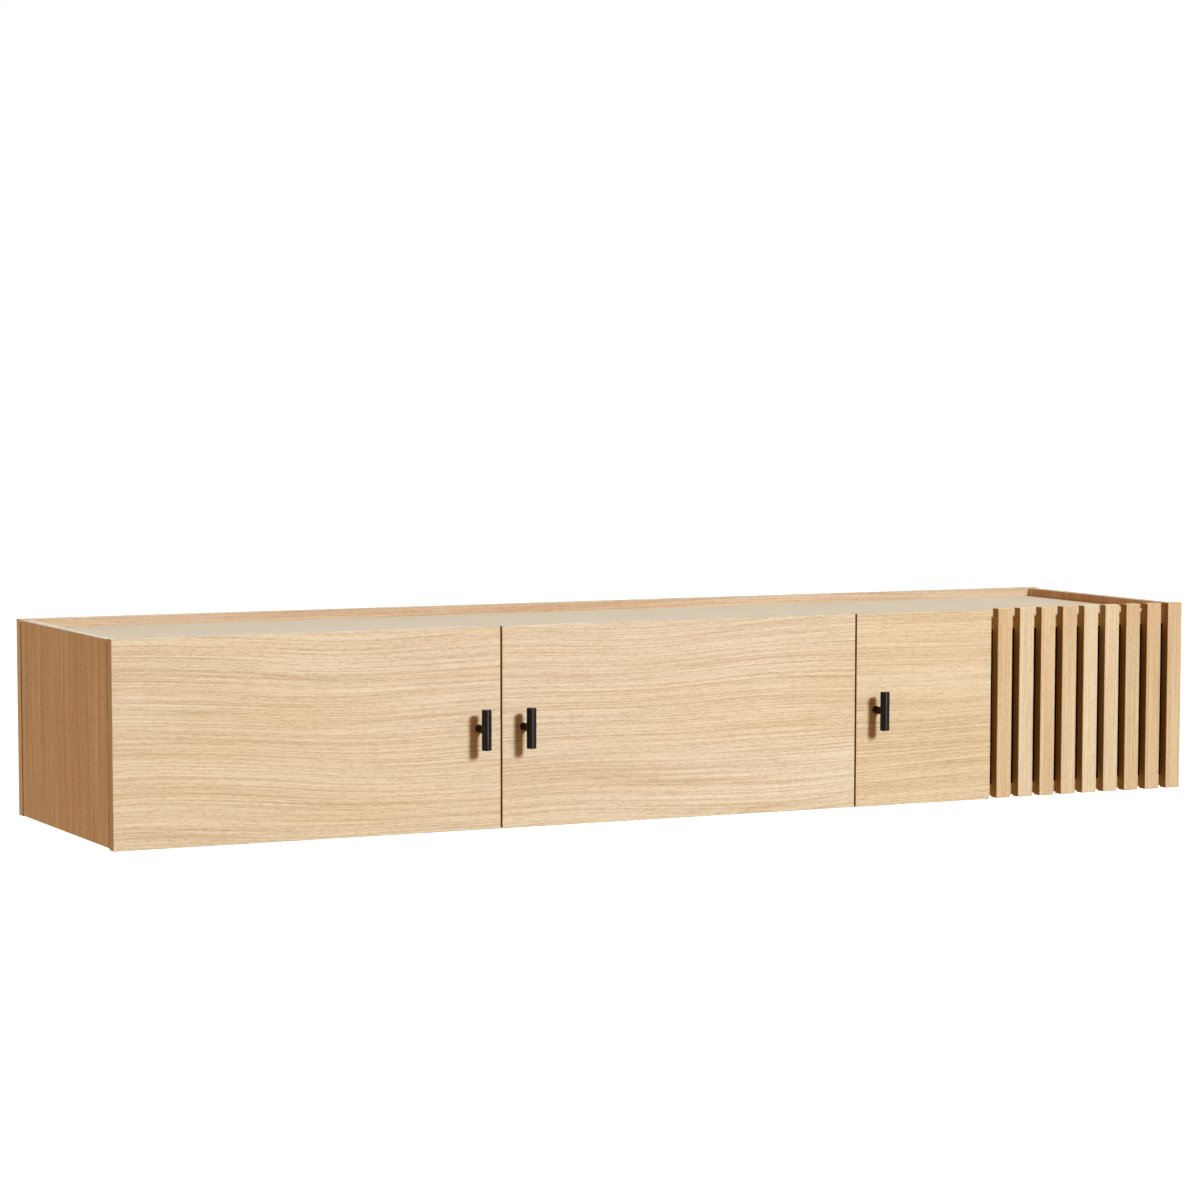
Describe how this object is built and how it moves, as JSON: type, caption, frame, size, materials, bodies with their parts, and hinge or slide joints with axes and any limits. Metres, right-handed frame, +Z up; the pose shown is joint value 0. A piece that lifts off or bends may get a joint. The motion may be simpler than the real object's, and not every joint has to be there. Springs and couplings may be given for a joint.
{
  "type": "floating sideboard",
  "caption": "Long wall-hung oak sideboard with a recessed pale top, hinged doors with black T-bar handles and an upright slatted screen at the right end.",
  "frame": {"origin": "centre of the rectangle of wall fixings, on the rear face of the back panel, which lies on the wall", "axes": "+X to the right as seen from the front, along the cabinet; +Y into the wall; +Z up"},
  "size_m": [1.5, 0.404, 0.249],
  "materials": {
    "oak_doors": "matt lacquered oak veneer, grain running across the door",
    "oak_slats": "matt lacquered solid oak, upright grain",
    "oak_carcass": "matt lacquered oak veneer",
    "top_laminate": "smooth matt greige laminate",
    "black_board": "board painted matt black",
    "black_metal": "black powder coat",
    "nickel_steel": "nickel plated pressed steel",
    "zinc_steel": "zinc plated steel",
    "beech_dowel": "plain beech",
    "bumper_rubber": "soft grey silicone rubber"
  },
  "bodies": {
    "root": {"back_panel": "oak_carcass", "back_screws": "zinc_steel", "bottom_panel": "oak_carcass", "corner_dowels": "beech_dowel", "door_bumpers": "bumper_rubber", "hinge_post": "oak_carcass", "left_divider": "oak_carcass", "left_hinge_arms": "nickel_steel", "left_hinge_plates": "nickel_steel", "left_side_panel": "oak_carcass", "middle_hinge_arms": "nickel_steel", "middle_hinge_plates": "nickel_steel", "narrow_hinge_arms": "nickel_steel", "narrow_hinge_plates": "nickel_steel", "right_divider": "oak_carcass", "right_side_panel": "oak_carcass", "slat_1": "oak_slats", "slat_2": "oak_slats", "slat_3": "oak_slats", "slat_4": "oak_slats", "slat_5": "oak_slats", "slat_6": "oak_slats", "slat_7": "oak_slats", "slat_8": "oak_slats", "slat_9": "oak_slats", "slat_backing_board": "black_board", "top_inlay": "top_laminate", "top_panel": "oak_carcass", "wall_plates": "zinc_steel"},
    "left_door": {"left_door_panel": "oak_doors", "left_hinge_cups": "nickel_steel", "left_handle_bar": "black_metal", "left_handle_post": "black_metal", "left_handle_screw": "zinc_steel"},
    "middle_door": {"middle_door_panel": "oak_doors", "middle_hinge_cups": "nickel_steel", "middle_handle_bar": "black_metal", "middle_handle_post": "black_metal", "middle_handle_screw": "zinc_steel"},
    "narrow_door": {"narrow_door_panel": "oak_doors", "narrow_hinge_cups": "nickel_steel", "narrow_handle_bar": "black_metal", "narrow_handle_post": "black_metal", "narrow_handle_screw": "zinc_steel"}
  },
  "joints": [
    {"name": "left_door_hinge", "type": "hinge", "parent": "root", "child": "left_door", "pos_m": [-0.746, -0.371, 0], "axis": [0, 0, -1], "range_deg": [0, 95]},
    {"name": "middle_door_hinge", "type": "hinge", "parent": "root", "child": "middle_door", "pos_m": [0.2408, -0.371, 0], "axis": [0, 0, 1], "range_deg": [0, 95]},
    {"name": "narrow_door_hinge", "type": "hinge", "parent": "root", "child": "narrow_door", "pos_m": [0.4448, -0.371, 0], "axis": [0, 0, 1], "range_deg": [0, 95]}
  ]
}
